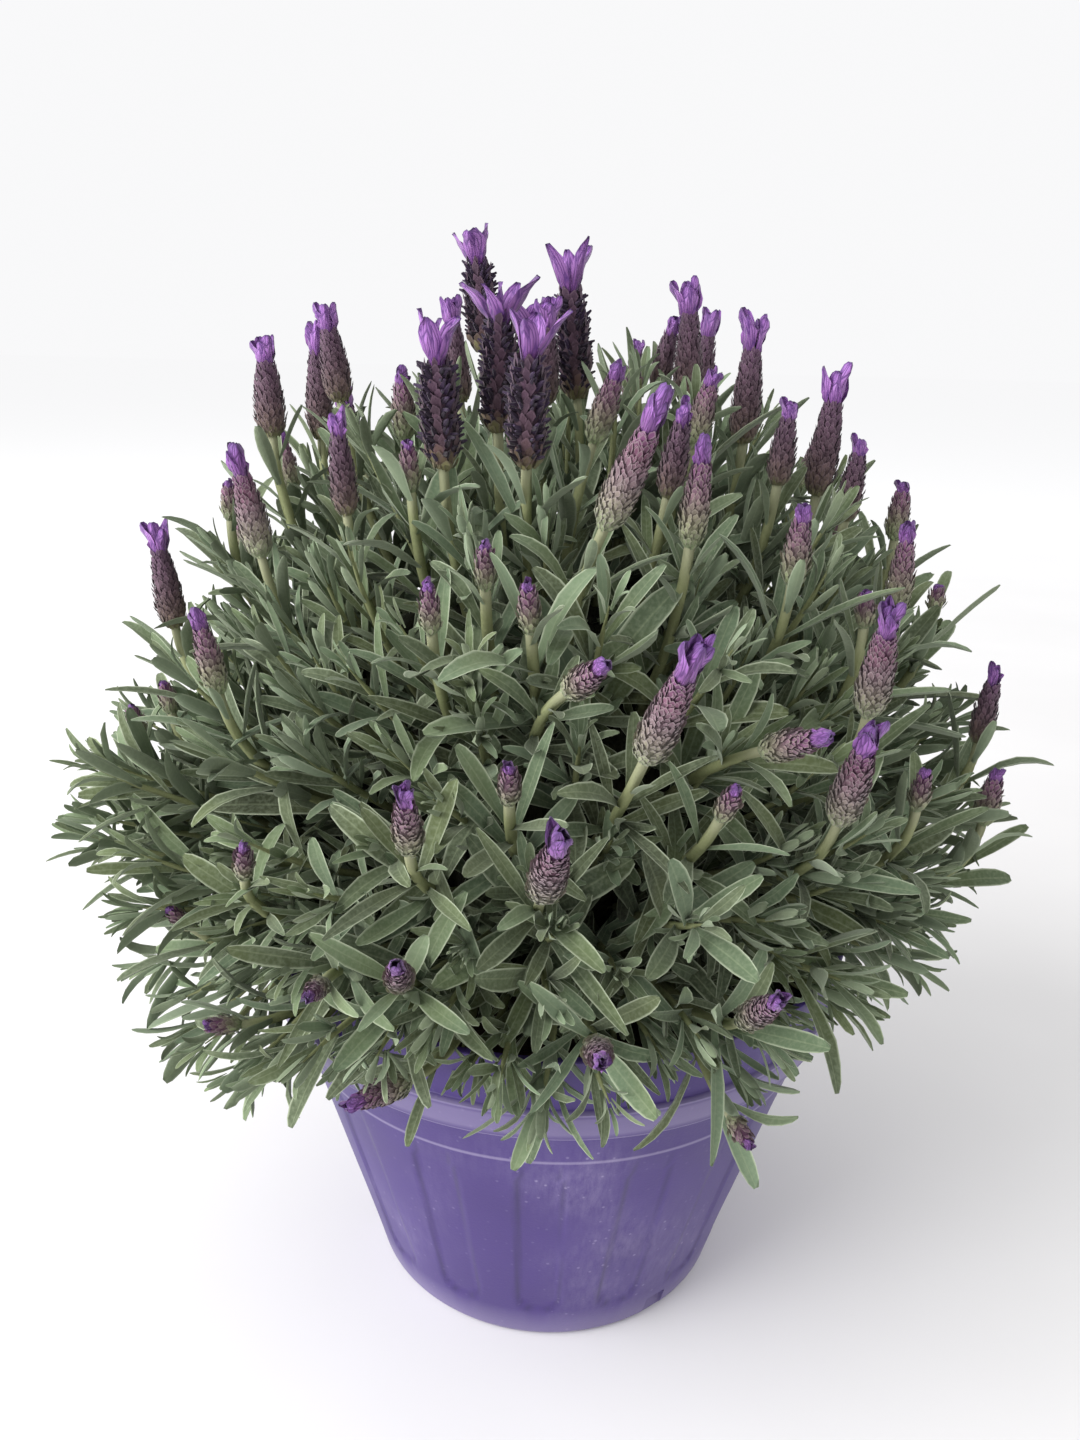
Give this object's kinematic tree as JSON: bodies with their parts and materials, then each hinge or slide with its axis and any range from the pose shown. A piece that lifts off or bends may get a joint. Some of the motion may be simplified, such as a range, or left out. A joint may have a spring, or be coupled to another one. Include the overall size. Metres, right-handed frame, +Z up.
{
  "type": "potted lavender",
  "caption": "Round bush of French lavender with leafy stems and purple flower heads, growing in a tapered plastic pot of soil.",
  "frame": {"origin": "middle of the pot's underside, where it rests on the ground", "axes": "+Z up along the pot's axis, -Y towards the front of the picture, +X to its right"},
  "size_m": [0.3336, 0.3438, 0.391],
  "materials": {
    "pot_plastic": "moulded violet plastic, slightly dusty, with a soft sheen",
    "potting_soil": "dark crumbly potting mix, fully matt",
    "old_wood": "rough grey-brown bark",
    "foliage": "felted grey-green leaves and pale green stems, matt",
    "flower_spike": "dull brown-purple scales with violet bracts on the top, matt"
  },
  "bodies": {
    "root": {"pot": "pot_plastic", "soil": "potting_soil", "woody_base": "old_wood", "leafy_branch_1": "foliage", "leafy_branch_2": "foliage", "leafy_branch_3": "foliage", "leafy_branch_4": "foliage", "leafy_branch_5": "foliage", "leafy_branch_6": "foliage", "leafy_branch_7": "foliage", "leafy_branch_8": "foliage", "leafy_crown": "foliage", "flower_head_01": "flower_spike", "flower_head_02": "flower_spike", "flower_head_03": "flower_spike", "flower_head_04": "flower_spike", "flower_head_05": "flower_spike", "flower_head_06": "flower_spike", "flower_head_07": "flower_spike", "flower_head_08": "flower_spike", "flower_head_09": "flower_spike", "flower_head_10": "flower_spike", "flower_head_11": "flower_spike", "flower_head_12": "flower_spike", "flower_head_13": "flower_spike", "flower_head_14": "flower_spike", "flower_head_15": "flower_spike", "flower_head_16": "flower_spike", "flower_head_17": "flower_spike", "flower_head_18": "flower_spike", "flower_head_19": "flower_spike", "flower_head_20": "flower_spike", "flower_head_21": "flower_spike", "flower_head_22": "flower_spike", "flower_head_23": "flower_spike", "flower_head_24": "flower_spike", "flower_head_25": "flower_spike", "flower_head_26": "flower_spike", "flower_head_27": "flower_spike", "flower_head_28": "flower_spike", "flower_head_29": "flower_spike", "flower_head_30": "flower_spike", "flower_head_31": "flower_spike", "flower_head_32": "flower_spike", "flower_head_33": "flower_spike", "flower_head_34": "flower_spike", "flower_head_35": "flower_spike", "flower_head_36": "flower_spike", "flower_head_37": "flower_spike", "flower_head_38": "flower_spike", "flower_head_39": "flower_spike", "flower_head_40": "flower_spike", "flower_head_41": "flower_spike", "flower_head_42": "flower_spike", "flower_head_43": "flower_spike", "flower_head_44": "flower_spike", "flower_head_45": "flower_spike"}
  },
  "joints": []
}
